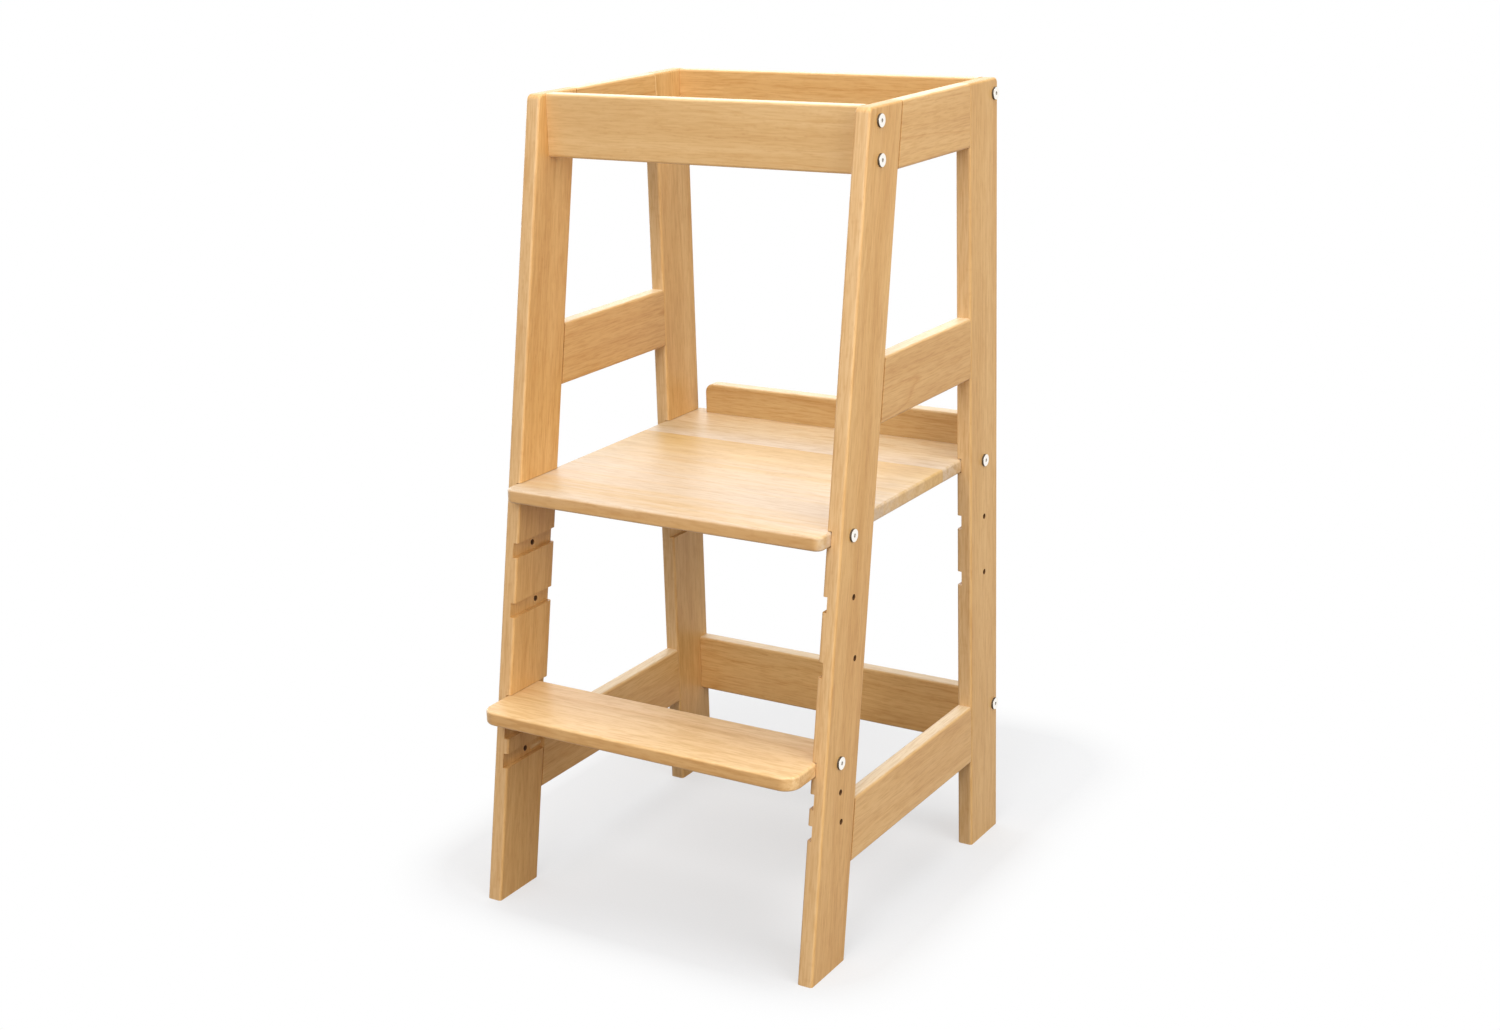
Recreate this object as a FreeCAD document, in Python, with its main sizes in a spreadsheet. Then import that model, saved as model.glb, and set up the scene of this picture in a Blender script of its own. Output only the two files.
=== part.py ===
import FreeCAD, Part
import Sketcher
import math
import os
import re

# Height-adjustable kitchen helper stool for a toddler, in solid beech.
# Two side frames of flat boards carry a standing platform and a step.
# Frame of the part: X across the stool, Y from the front to the back, Z up.
# The origin lies on the floor, in the middle of the stool's width and depth.

# Every size is in millimetres: name, value, meaning.
SIZES = [
    ("overallHeight", 900, "floor to the top of the rails"),
    ("overallWidth", 428, "between the outer faces of the side frames"),
    ("rearFace", 227.5, "origin to the rear face of the rear legs"),
    ("baseDepth", 453, "front edge of the front leg to the rear face, at the floor"),
    ("topDepth", 297, "the same depth at the top"),
    ("frameThick", 18, "thickness of legs and rails"),
    ("legWidth", 70, "width of a leg, square to its edges"),
    ("railHeight", 70, "height of every rail"),
    ("middleRailBottom", 570.5, "floor to the middle side rail"),
    ("lowerRailBottom", 106.5, "floor to the lower side rail and the lower rear rail"),
    ("frontRailSetback", 11, "front leg edge to the front rail, at the top"),
    ("edgeRound", 3, "rounding of the long edges"),
    ("topCornerRound", 6, "rounding of a leg's outer top corner"),
    ("platformTop", 476, "floor to the standing surface"),
    ("platformThick", 16, "thickness of the platform"),
    ("platformDepth", 400, "front to back of the platform"),
    ("platformRearReach", 6, "platform beyond the rear legs"),
    ("platformPitch", 67.5, "between two heights of the platform"),
    ("platformLevels", 3, "heights of the platform"),
    ("rearBoardWidth", 122, "rear board of the glued platform"),
    ("platformCorner", 10, "front corners of the platform, in plan"),
    ("platformRearCorner", 5, "rear corners of the platform, in plan"),
    ("lipLength", 358, "length of the upright board at the back of the platform"),
    ("lipHeight", 36.5, "height of that board"),
    ("lipThick", 18, "thickness of that board"),
    ("lipCorner", 11, "its rounded top corners"),
    ("stepTop", 236.5, "floor to the top of the step"),
    ("stepThick", 16, "thickness of the step"),
    ("stepDepth", 105, "front to back of the step"),
    ("stepFrontReach", 77.3, "bolt of the step to its front edge"),
    ("stepPitch", 33.5, "between two heights of the step"),
    ("stepLevels", 3, "heights of the step"),
    ("stepCorner", 18, "front corners of the step, in plan"),
    ("stepRearCorner", 3.5, "rear corners of the step, in plan"),
    ("grooveDepth", 5.8, "depth of the grooves in the legs"),
    ("grooveSlack", 0.5, "air above a board in its groove"),
    ("boardEndGap", 0.3, "end of a board to the bottom of its groove"),
    ("boltRadius", 3, "shank of a connector bolt"),
    ("boltLength", 50, "length under the head"),
    ("boltPlay", 0.25, "air around a shank, on the radius"),
    ("boltTipGap", 3, "bore beyond the tip of a bolt"),
    ("boltTipBevel", 0.8, "bevel of the tip"),
    ("boltHeadRadius", 7, "flat head of a bolt"),
    ("boltHeadThick", 2.6, "thickness of the head"),
    ("boltHeadRound", 0.9, "rounding of the head"),
    ("socketFlat", 4, "across the flats of the hexagon socket"),
    ("socketDepth", 2, "depth of the socket"),
    ("nutRadius", 5, "barrel nut"),
    ("nutLength", 12, "length of a barrel nut"),
    ("nutPlay", 0.1, "air around a barrel nut, on the radius"),
    ("nutEndGap", 0.2, "air behind a barrel nut"),
    ("nutTipReach", 9, "axis of a barrel nut to the tip of its bolt"),
    ("threadPlay", 0.05, "bolt in its barrel nut, on the radius"),
    ("slotWidth", 1.2, "screwdriver slot of a barrel nut"),
    ("slotDepth", 1.2, "depth of that slot"),
    ("railBoltInset", 15, "top of the front rail to its upper bolt"),
    ("railBoltPitch", 40, "between the two bolts of the front rail"),
    ("rearBoltInset", 17, "top of a rear rail to its bolt"),
    ("rearDowelInset", 52, "top of a rear rail to its dowel"),
    ("rearDowelBite", 12, "dowel of a rear rail in the leg"),
    ("dowelRadius", 4, "wooden dowel"),
    ("dowelLength", 40, "length of a frame dowel"),
    ("dowelInset", 18, "edge of a side rail to its dowels"),
    ("dowelPlay", 0.1, "glue line around a dowel, on the radius"),
    ("dowelEndGap", 1, "air beyond each end of a dowel"),
    ("lipDowels", 3, "dowels between the platform and its back board"),
    ("lipDowelLength", 28, "length of such a dowel"),
    ("lipDowelBite", 12, "such a dowel in the platform"),
    ("lipDowelInset", 45, "end of the back board to its first dowel"),
]
NAMES = [entry[0] for entry in SIZES]

# Sizes that follow from the ones above, as formulas.
HALF = "overallWidth / 2"
INNER = "(overallWidth / 2 - frameThick)"
FRAME_MID = "(overallWidth / 2 - frameThick / 2)"
FLOOR_FRONT = "(rearFace - baseDepth)"
LEAN = "((baseDepth - topDepth) / overallHeight)"
LEG_RUN = "(legWidth * sqrt((baseDepth - topDepth) ^ 2 + overallHeight ^ 2) / overallHeight)"
REAR_LEG_FRONT = "(rearFace - legWidth)"
REAR_RAIL_MID = "(rearFace - frameThick / 2)"
FRONT_RAIL_FACE = "(rearFace - topDepth + frontRailSetback)"
FRONT_RAIL_MID = "(rearFace - topDepth + frontRailSetback + frameThick / 2)"
TOP_RAIL_BOTTOM = "(overallHeight - railHeight)"
LOWER_RAIL_TOP = "(lowerRailBottom + railHeight)"
BOARD_HALF = "(overallWidth / 2 - frameThick + grooveDepth - boardEndGap)"
NUT_X = "(overallWidth / 2 - boltLength + nutTipReach)"
PLATFORM_BOTTOM = "(platformTop - platformThick)"
PLATFORM_BOLT = "(platformTop - platformThick / 2)"
PLATFORM_REAR = "(rearFace + platformRearReach)"
PLATFORM_FRONT = "(rearFace + platformRearReach - platformDepth)"
PLATFORM_SEAM = "(rearFace + platformRearReach - rearBoardWidth)"
STEP_BOTTOM = "(stepTop - stepThick)"
STEP_BOLT = "(stepTop - stepThick / 2)"
LIP_MID = "(rearFace + platformRearReach - lipThick / 2)"
REAR_COLUMN = "(rearFace - legWidth / 2)"

TINY = 0.01


def legFrontAt(height):
    """Front edge of the leaning leg at a height."""
    return f"({FLOOR_FRONT} + {LEAN} * ({height}))"


def legRearAt(height):
    """Rear edge of the leaning leg at a height."""
    return f"({FLOOR_FRONT} + {LEG_RUN} + {LEAN} * ({height}))"


def legMiddleAt(height):
    """Middle of the leaning leg at a height."""
    return f"({FLOOR_FRONT} + {LEG_RUN} / 2 + {LEAN} * ({height}))"


# The bolt columns stand upright, through the middle of the leaning leg at the middle height.
PLATFORM_COLUMN = legMiddleAt(f"{PLATFORM_BOLT} - platformPitch * (platformLevels - 1) / 2")
STEP_COLUMN = legMiddleAt(f"{STEP_BOLT} - stepPitch * (stepLevels - 1) / 2")
STEP_FRONT = f"({STEP_COLUMN} - stepFrontReach)"

doc = FreeCAD.newDocument("KitchenHelperStool")
sheet = doc.addObject("Spreadsheet::Sheet", "Sizes")
for row, (alias, number, meaning) in enumerate(SIZES, start=1):
    sheet.set(f"A{row}", meaning)
    sheet.set(f"B{row}", str(number))
    sheet.setAlias(f"B{row}", alias)
doc.recompute()


def ex(formula):
    """The formula with each size read from the sheet."""
    def link(match):
        word = match.group()
        return "Sizes." + word if word in NAMES else word
    return re.sub(r"[A-Za-z]\w*", link, str(formula))


def originPlane(body, role):
    return next(item for item in body.Origin.OriginFeatures if item.Role == role)


def newBody(label):
    body = doc.addObject("PartDesign::Body", label)
    body.Label = label
    return body


def sketchOn(body, name, role, offset="0"):
    """A sketch on one of the body's own origin planes, moved along that plane's normal."""
    sketch = body.newObject("Sketcher::SketchObject", name)
    sketch.AttachmentSupport = [(originPlane(body, role), "")]
    sketch.MapMode = "FlatFace"
    sketch.setExpression("AttachmentOffset.Base.z", ex(offset))
    return sketch


def hold(sketch, kind, places, formula, start):
    """A dimension of the sketch, bound to a formula."""
    index = sketch.addConstraint(Sketcher.Constraint(kind, *places, start))
    sketch.setExpression(f"Constraints[{index}]", ex(formula))


def outline(sketch, corners):
    """A closed outline of straight lines through corners, each an (across, up) pair of formulas."""
    count = len(corners)
    turn = 2 * math.pi / count
    spots = [FreeCAD.Vector(math.cos(i * turn), math.sin(i * turn), 0) for i in range(count)]
    for i in range(count):
        sketch.addGeometry(Part.LineSegment(spots[i], spots[(i + 1) % count]), False)
    for i in range(count):
        sketch.addConstraint(Sketcher.Constraint("Coincident", i, 2, (i + 1) % count, 1))
    for i, (across, up) in enumerate(corners):
        hold(sketch, "DistanceX", (-1, 1, i, 1), across, spots[i].x)
        hold(sketch, "DistanceY", (-1, 1, i, 1), up, spots[i].y)


def rectangle(sketch, left, right, bottom, top):
    outline(sketch, [(left, bottom), (right, bottom), (right, top), (left, top)])


def circle(sketch, across, up, radius):
    index = sketch.addGeometry(Part.Circle(FreeCAD.Vector(1, 1, 0), FreeCAD.Vector(0, 0, 1), 1), False)
    hold(sketch, "DistanceX", (-1, 1, index, 3), across, 1)
    hold(sketch, "DistanceY", (-1, 1, index, 3), up, 1)
    hold(sketch, "Radius", (index,), radius, 1)


def pad(body, sketch, name, length):
    feature = body.newObject("PartDesign::Pad", name)
    feature.Profile = sketch
    feature.setExpression("Length", ex(length))
    doc.recompute()
    return feature


def pocket(body, sketch, name, depth, alongNormal):
    """Cut the sketch into the body, and make sure that material went."""
    before = body.Shape.Volume
    feature = body.newObject("PartDesign::Pocket", name)
    feature.Profile = sketch
    feature.Reversed = alongNormal
    feature.setExpression("Length", ex(depth))
    doc.recompute()
    if body.Shape.Volume > before - TINY:
        raise RuntimeError(f"{name} in {body.Label} cuts nothing")
    return feature


def roundOff(body, name, radius, wanted):
    """Round the edges of the body's last feature that the test picks."""
    base = body.Tip
    picked = [f"Edge{i}" for i, edge in enumerate(base.Shape.Edges, start=1) if wanted(edge)]
    feature = body.newObject("PartDesign::Fillet", name)
    feature.Base = (base, picked)
    feature.setExpression("Radius", ex(radius))
    doc.recompute()
    return feature


def runsAlong(edge, axis):
    """True for a straight edge along X, Y or Z."""
    box = edge.BoundBox
    lengths = {"X": box.XLength, "Y": box.YLength, "Z": box.ZLength}
    along = lengths.pop(axis)
    return along > TINY and max(lengths.values()) < TINY


def place(item, across, back, up):
    item.setExpression("Placement.Base.x", ex(across))
    item.setExpression("Placement.Base.y", ex(back))
    item.setExpression("Placement.Base.z", ex(up))


TURNS = {
    "X": FreeCAD.Rotation(FreeCAD.Vector(0, 1, 0), 90),
    "Y": FreeCAD.Rotation(FreeCAD.Vector(1, 0, 0), -90),
    "Z": FreeCAD.Rotation(),
}


def peg(name, axis, spot, radius, length):
    """A round pin from a spot along an axis."""
    pin = doc.addObject("Part::Cylinder", name)
    pin.Placement.Rotation = TURNS[axis]
    pin.setExpression("Radius", ex(radius))
    pin.setExpression("Height", ex(length))
    place(pin, *spot)
    return pin


def gather(label, items):
    """Separate solids kept as one group."""
    group = doc.addObject("Part::Compound", label)
    group.Label = label
    group.Links = items
    return group


def mirrored(source, label):
    """The left-hand twin of a right-hand piece."""
    twin = doc.addObject("Part::Mirroring", label)
    twin.Label = label
    twin.Source = source
    twin.Normal = FreeCAD.Vector(1, 0, 0)
    return twin


def bored(blank, tools, label):
    """The finished piece: its blank less the bores that cross it."""
    whole = blank
    for number, tool in enumerate(tools, start=1):
        cut = doc.addObject("Part::Cut", label if number == len(tools) else f"{label}_stage_{number}")
        cut.Base = whole
        cut.Tool = tool
        whole = cut
    whole.Label = label
    return whole


# Bolts and barrel nuts, one of each kind, placed by reference below.
bolt = newBody("connector_bolt")
sketch = sketchOn(bolt, "bolt_profile", "XZ_Plane")
outline(sketch, [
    ("-boltLength", "0"),
    ("boltHeadThick", "0"),
    ("boltHeadThick", "boltHeadRadius"),
    ("0", "boltHeadRadius"),
    ("0", "boltRadius"),
    ("-boltLength + boltTipBevel", "boltRadius"),
    ("-boltLength", "boltRadius - boltTipBevel"),
])
turned = bolt.newObject("PartDesign::Revolution", "bolt_turned")
turned.Profile = sketch
turned.ReferenceAxis = (sketch, ["H_Axis"])
turned.Angle = 360
doc.recompute()
headReach = bolt.Shape.BoundBox.XMax
roundOff(bolt, "bolt_head_round", "boltHeadRound",
         lambda edge: edge.BoundBox.XMin > headReach - TINY and edge.BoundBox.XLength < TINY)
socket = bolt.newObject("PartDesign::SubtractivePrism", "bolt_socket")
socket.AttachmentSupport = [(originPlane(bolt, "YZ_Plane"), "")]
socket.MapMode = "FlatFace"
socket.Polygon = 6
socket.setExpression("AttachmentOffset.Base.z", ex("boltHeadThick - socketDepth"))
socket.setExpression("Circumradius", ex("socketFlat / sqrt(3)"))
socket.setExpression("Height", ex("socketDepth"))
doc.recompute()

nutBlank = peg("nut_blank", "Z", ("0", "0", "-nutLength / 2"), "nutRadius", "nutLength")
nutThread = peg("nut_thread", "X", ("-nutRadius", "0", "0"), "boltRadius + threadPlay", "2 * nutRadius")
nutSlot = doc.addObject("Part::Box", "nut_slot")
nutSlot.setExpression("Length", ex("2 * nutRadius"))
nutSlot.setExpression("Width", ex("slotWidth"))
nutSlot.setExpression("Height", ex("slotDepth"))
place(nutSlot, "-nutRadius", "-slotWidth / 2", "-nutLength / 2")
nut = bored(nutBlank, [nutThread, nutSlot], "barrel_nut")


def boltAt(name, back, up):
    """A bolt whose head lies on the outer face of the right side frame."""
    item = doc.addObject("App::Link", name)
    item.LinkedObject = bolt
    place(item, HALF, back, up)
    return item


# A nut is slid in from the side where it does not show: its slotted end faces that side.
NUT_TURNS = {
    "down": FreeCAD.Rotation(),
    "back": FreeCAD.Rotation(FreeCAD.Vector(1, 0, 0), 90),
}


def nutAt(name, across, back, up, facing):
    item = doc.addObject("App::Link", name)
    item.LinkedObject = nut
    item.Placement.Rotation = NUT_TURNS[facing]
    place(item, across, back, up)
    return item


def boltBore(name, back, up):
    """Clearance bore of one bolt, from the outer face inwards."""
    return peg(name, "X", (f"{HALF} - boltLength - boltTipGap", back, up),
               "boltRadius + boltPlay", "boltLength + boltTipGap + boltHeadThick")


def nutBore(name, back, up, facing, thick):
    """Blind bore of one barrel nut, from the hidden face to just past the nut."""
    depth = f"({thick} / 2 + nutLength / 2 + nutEndGap)"
    starts = {
        "down": ("Z", (NUT_X, back, f"{up} - {thick} / 2")),
        "back": ("Y", (NUT_X, f"{back} + {thick} / 2 - {depth}", up)),
    }
    axis, spot = starts[facing]
    return peg(name, axis, spot, "nutRadius + nutPlay", depth)


# Where the bolts sit: name, place from front to back, height, nut side, board thickness.
RAIL_BOLTS = [
    ("front_upper", FRONT_RAIL_MID, "overallHeight - railBoltInset", "back", "frameThick"),
    ("front_lower", FRONT_RAIL_MID, "overallHeight - railBoltInset - railBoltPitch", "back", "frameThick"),
    ("rear_top", REAR_RAIL_MID, "overallHeight - rearBoltInset", "back", "frameThick"),
    ("rear_low", REAR_RAIL_MID, f"{LOWER_RAIL_TOP} - rearBoltInset", "back", "frameThick"),
]
PLATFORM_BOLTS = [
    ("platform_front", PLATFORM_COLUMN, PLATFORM_BOLT, "down", "platformThick"),
    ("platform_rear", REAR_COLUMN, PLATFORM_BOLT, "down", "platformThick"),
]
STEP_BOLTS = [("step_middle", STEP_COLUMN, STEP_BOLT, "down", "stepThick")]


def boltGroup(label, spots):
    return gather(label, [boltAt(f"bolt_{name}", back, up) for name, back, up, facing, thick in spots])


def nutGroup(label, spots):
    """The barrel nuts of some bolts, on both sides."""
    items = []
    for name, back, up, facing, thick in spots:
        items.append(nutAt(f"nut_right_{name}", NUT_X, back, up, facing))
        items.append(nutAt(f"nut_left_{name}", f"-{NUT_X}", back, up, facing))
    return gather(label, items)


def boltBores(spots):
    items = []
    for name, back, up, facing, thick in spots:
        items.append(boltBore(f"bore_{name}", back, up))
        items.append(nutBore(f"nut_bore_{name}", back, up, facing, thick))
    return items


# Wooden dowels of the right side frame, two at each end of each side rail.
SIDE_RAILS = [("top", TOP_RAIL_BOTTOM), ("middle", "middleRailBottom"), ("lower", "lowerRailBottom")]
dowels = []
dowelBores = []
for railName, railBottom in SIDE_RAILS:
    heights = [f"({railBottom} + dowelInset)", f"({railBottom} + railHeight - dowelInset)"]
    for rank, level in enumerate(heights, start=1):
        for endName, seam in (("front", legRearAt(level)), ("rear", REAR_LEG_FRONT)):
            tag = f"{railName}_{endName}_{rank}"
            spot = (FRAME_MID, f"{seam} - dowelLength / 2", level)
            dowels.append(peg(f"dowel_{tag}", "Y", spot, "dowelRadius", "dowelLength"))
            spot = (FRAME_MID, f"{seam} - dowelLength / 2 - dowelEndGap", level)
            dowelBores.append(peg(f"dowel_bore_{tag}", "Y", spot,
                                  "dowelRadius + dowelPlay", "dowelLength + 2 * dowelEndGap"))

# One dowel under the bolt at each end of a rear rail.
railDowels = []
for tag, railTop in (("top", "overallHeight"), ("low", LOWER_RAIL_TOP)):
    level = f"({railTop} - rearDowelInset)"
    start = f"({INNER} + rearDowelBite - dowelLength)"
    railDowels.append(peg(f"rail_dowel_{tag}", "X", (start, REAR_RAIL_MID, level),
                          "dowelRadius", "dowelLength"))
    start = f"({INNER} + rearDowelBite + dowelEndGap - dowelLength - 2 * dowelEndGap)"
    dowelBores.append(peg(f"rail_dowel_bore_{tag}", "X", (start, REAR_RAIL_MID, level),
                          "dowelRadius + dowelPlay", "dowelLength + 2 * dowelEndGap"))

rightFrameBores = gather("right_frame_bores", dowelBores + boltBores(RAIL_BOLTS))
leftFrameBores = mirrored(rightFrameBores, "left_frame_bores")
rightPlatformBores = gather("right_platform_bores", boltBores(PLATFORM_BOLTS))
leftPlatformBores = mirrored(rightPlatformBores, "left_platform_bores")
rightStepBores = gather("right_step_bores", boltBores(STEP_BOLTS))
leftStepBores = mirrored(rightStepBores, "left_step_bores")
doc.recompute()

nodes = []


def boardEdge(edge):
    """True for the edges of a leg to round: the outline of its two broad faces, less the foot."""
    box = edge.BoundBox
    return box.XLength < TINY and box.ZMax > TINY


def slots(body, prefix, span, bottom, thick, column, boltLevel, pitch, levels):
    """One groove and bolt hole in the leg's inner face, repeated downwards for every height."""
    grooveSketch = sketchOn(body, f"{prefix}_groove_outline", "YZ_Plane", INNER)
    rectangle(grooveSketch, span[0], span[1], bottom, f"{bottom} + {thick} + grooveSlack")
    groove = pocket(body, grooveSketch, f"{prefix}_groove", "grooveDepth", True)
    holeSketch = sketchOn(body, f"{prefix}_hole_outline", "YZ_Plane", INNER)
    circle(holeSketch, column, boltLevel, "boltRadius + boltPlay")
    hole = pocket(body, holeSketch, f"{prefix}_hole", "frameThick", True)
    pattern = body.newObject("PartDesign::LinearPattern", f"{prefix}_heights")
    pattern.Originals = [groove, hole]
    pattern.Direction = (grooveSketch, ["V_Axis"])
    pattern.Reversed = True
    pattern.setExpression("Length", ex(f"{pitch} * ({levels} - 1)"))
    pattern.setExpression("Occurrences", ex(levels))
    body.Tip = pattern
    doc.recompute()


# Front leg: a leaning board, cut level at the floor and at the top.
frontLeg = newBody("right_front_leg_blank")
sketch = sketchOn(frontLeg, "front_leg_side", "YZ_Plane", INNER)
outline(sketch, [
    (legFrontAt("0"), "0"),
    (legRearAt("0"), "0"),
    (legRearAt("overallHeight"), "overallHeight"),
    (legFrontAt("overallHeight"), "overallHeight"),
])
pad(frontLeg, sketch, "front_leg_board", "frameThick")
top = frontLeg.Shape.BoundBox.ZMax
middle = frontLeg.Shape.BoundBox.YMax - frontLeg.Shape.BoundBox.YLength / 4
roundOff(frontLeg, "front_leg_corner", "topCornerRound",
         lambda edge: runsAlong(edge, "X") and edge.BoundBox.ZMin > top - TINY
         and edge.BoundBox.YMax < middle)
roundOff(frontLeg, "front_leg_edges", "edgeRound", boardEdge)
legSpan = (FLOOR_FRONT, legRearAt("overallHeight"))
slots(frontLeg, "platform", legSpan, PLATFORM_BOTTOM, "platformThick",
      PLATFORM_COLUMN, PLATFORM_BOLT, "platformPitch", "platformLevels")
slots(frontLeg, "step", legSpan, STEP_BOTTOM, "stepThick",
      STEP_COLUMN, STEP_BOLT, "stepPitch", "stepLevels")
rightFrontLeg = bored(frontLeg, [rightFrameBores], "right_front_leg")

# Rear leg: an upright board.
rearLeg = newBody("right_rear_leg_blank")
sketch = sketchOn(rearLeg, "rear_leg_side", "YZ_Plane", INNER)
rectangle(sketch, REAR_LEG_FRONT, "rearFace", "0", "overallHeight")
pad(rearLeg, sketch, "rear_leg_board", "frameThick")
back = rearLeg.Shape.BoundBox.YMax
roundOff(rearLeg, "rear_leg_corner", "topCornerRound",
         lambda edge: runsAlong(edge, "X") and edge.BoundBox.ZMin > top - TINY
         and edge.BoundBox.YMin > back - TINY)
roundOff(rearLeg, "rear_leg_edges", "edgeRound", boardEdge)
legSpan = (f"{REAR_LEG_FRONT} - edgeRound", "rearFace + edgeRound")
slots(rearLeg, "platform", legSpan, PLATFORM_BOTTOM, "platformThick",
      REAR_COLUMN, PLATFORM_BOLT, "platformPitch", "platformLevels")
rightRearLeg = bored(rearLeg, [rightFrameBores], "right_rear_leg")

nodes += [rightFrontLeg, mirrored(rightFrontLeg, "left_front_leg")]
nodes += [rightRearLeg, mirrored(rightRearLeg, "left_rear_leg")]

# Side rails: their front end follows the lean of the front leg.
for railName, railBottom in SIDE_RAILS:
    railTop = f"({railBottom} + railHeight)"
    rail = newBody(f"right_{railName}_side_rail_blank")
    sketch = sketchOn(rail, f"{railName}_rail_side", "YZ_Plane", INNER)
    outline(sketch, [
        (legRearAt(railBottom), railBottom),
        (REAR_LEG_FRONT, railBottom),
        (REAR_LEG_FRONT, railTop),
        (legRearAt(railTop), railTop),
    ])
    pad(rail, sketch, f"{railName}_rail_board", "frameThick")
    roundOff(rail, f"{railName}_rail_edges", "edgeRound", lambda edge: runsAlong(edge, "Y"))
    finished = bored(rail, [rightFrameBores], f"right_{railName}_side_rail")
    nodes += [finished, mirrored(finished, f"left_{railName}_side_rail")]

# Rails across the stool, held between the legs' inner faces.
CROSS_RAILS = [
    ("front_top_rail", FRONT_RAIL_FACE, TOP_RAIL_BOTTOM),
    ("rear_top_rail", "rearFace - frameThick", TOP_RAIL_BOTTOM),
    ("rear_lower_rail", "rearFace - frameThick", "lowerRailBottom"),
]
for railName, face, railBottom in CROSS_RAILS:
    rail = newBody(f"{railName}_blank")
    sketch = sketchOn(rail, f"{railName}_section", "YZ_Plane", f"-{INNER}")
    rectangle(sketch, face, f"{face} + frameThick", railBottom, f"{railBottom} + railHeight")
    pad(rail, sketch, f"{railName}_board", f"2 * {INNER}")
    roundOff(rail, f"{railName}_edges", "edgeRound", lambda edge: runsAlong(edge, "X"))
    nodes.append(bored(rail, [rightFrameBores, leftFrameBores], railName))

# Platform: two boards glued edge to edge, with an upright board along the back.
lipSpots = []
lipBores = []
for rank in range(int(dict((entry[0], entry[1]) for entry in SIZES)["lipDowels"])):
    across = f"(-lipLength / 2 + lipDowelInset + {rank} * (lipLength - 2 * lipDowelInset) / (lipDowels - 1))"
    spot = (across, LIP_MID, "platformTop - lipDowelBite")
    lipSpots.append(peg(f"lip_dowel_{rank + 1}", "Z", spot, "dowelRadius", "lipDowelLength"))
    spot = (across, LIP_MID, "platformTop - lipDowelBite - dowelEndGap")
    lipBores.append(peg(f"lip_dowel_bore_{rank + 1}", "Z", spot,
                        "dowelRadius + dowelPlay", "lipDowelLength + 2 * dowelEndGap"))
lipBoreGroup = gather("lip_dowel_bores", lipBores)


def flatBoard(label, front, rear, bottom, thick, corners):
    """A board of the platform or the step: plan outline, then its corners, given as (front, rear)."""
    body = newBody(f"{label}_blank")
    sketch = sketchOn(body, f"{label}_plan", "XY_Plane", bottom)
    rectangle(sketch, f"-{BOARD_HALF}", BOARD_HALF, front, rear)
    pad(body, sketch, f"{label}_board", thick)
    middle = body.Shape.CenterOfGravity.y
    for side, radius in zip((-1, 1), corners):
        if radius:
            roundOff(body, f"{label}_corners_{'front' if side < 0 else 'rear'}", radius,
                     lambda edge: runsAlong(edge, "Z") and (edge.CenterOfMass.y - middle) * side > 0)
    low, high = body.Shape.BoundBox.YMin, body.Shape.BoundBox.YMax

    def wanted(edge):
        box = edge.BoundBox
        seamFront = not corners[0] and box.YMax < low + TINY
        seamRear = not corners[1] and box.YMin > high - TINY
        return box.ZLength < TINY and not seamFront and not seamRear
    roundOff(body, f"{label}_edges", "edgeRound", wanted)
    return body


platformFront = flatBoard("platform_front_board", PLATFORM_FRONT, PLATFORM_SEAM, PLATFORM_BOTTOM,
                          "platformThick", ("platformCorner", None))
platformRear = flatBoard("platform_rear_board", PLATFORM_SEAM, PLATFORM_REAR, PLATFORM_BOTTOM,
                         "platformThick", (None, "platformRearCorner"))
platformBores = [rightPlatformBores, leftPlatformBores]
nodes.append(bored(platformFront, platformBores, "platform_front_board"))
nodes.append(bored(platformRear, platformBores + [lipBoreGroup], "platform_rear_board"))

lip = newBody("platform_back_lip_blank")
sketch = sketchOn(lip, "lip_front", "XZ_Plane", f"-{PLATFORM_REAR}")
rectangle(sketch, "-lipLength / 2", "lipLength / 2", "platformTop", "platformTop + lipHeight")
pad(lip, sketch, "lip_board", "lipThick")
lipTop = lip.Shape.BoundBox.ZMax
lipFoot = lip.Shape.BoundBox.ZMin
roundOff(lip, "lip_corners", "lipCorner",
         lambda edge: runsAlong(edge, "Y") and edge.BoundBox.ZMin > lipTop - TINY)
roundOff(lip, "lip_edges", "edgeRound",
         lambda edge: edge.BoundBox.YLength < TINY and edge.BoundBox.ZMax > lipFoot + TINY)
nodes.append(bored(lip, [lipBoreGroup], "platform_back_lip"))
nodes.append(gather("lip_dowels", lipSpots))

# Step: one board between the front legs.
step = flatBoard("step_board", STEP_FRONT, f"{STEP_FRONT} + stepDepth", STEP_BOTTOM,
                 "stepThick", ("stepCorner", "stepRearCorner"))
nodes.append(bored(step, [rightStepBores, leftStepBores], "step_board"))

# Fastenings.
frameDowels = gather("right_frame_dowels", dowels)
nodes += [frameDowels, mirrored(frameDowels, "left_frame_dowels")]
rightRailDowels = gather("right_rail_dowels", railDowels)
nodes += [rightRailDowels, mirrored(rightRailDowels, "left_rail_dowels")]
for groupName, spots in (("rail_bolts", RAIL_BOLTS), ("platform_bolts", PLATFORM_BOLTS),
                         ("step_bolt", STEP_BOLTS)):
    group = boltGroup(f"right_{groupName}", spots)
    nodes += [group, mirrored(group, f"left_{groupName}")]
nodes.append(nutGroup("front_rail_barrel_nuts", RAIL_BOLTS[:2]))
nodes.append(nutGroup("rear_rail_barrel_nuts", RAIL_BOLTS[2:]))
nodes.append(nutGroup("platform_barrel_nuts", PLATFORM_BOLTS))
nodes.append(nutGroup("step_barrel_nuts", STEP_BOLTS))
doc.recompute()

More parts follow.
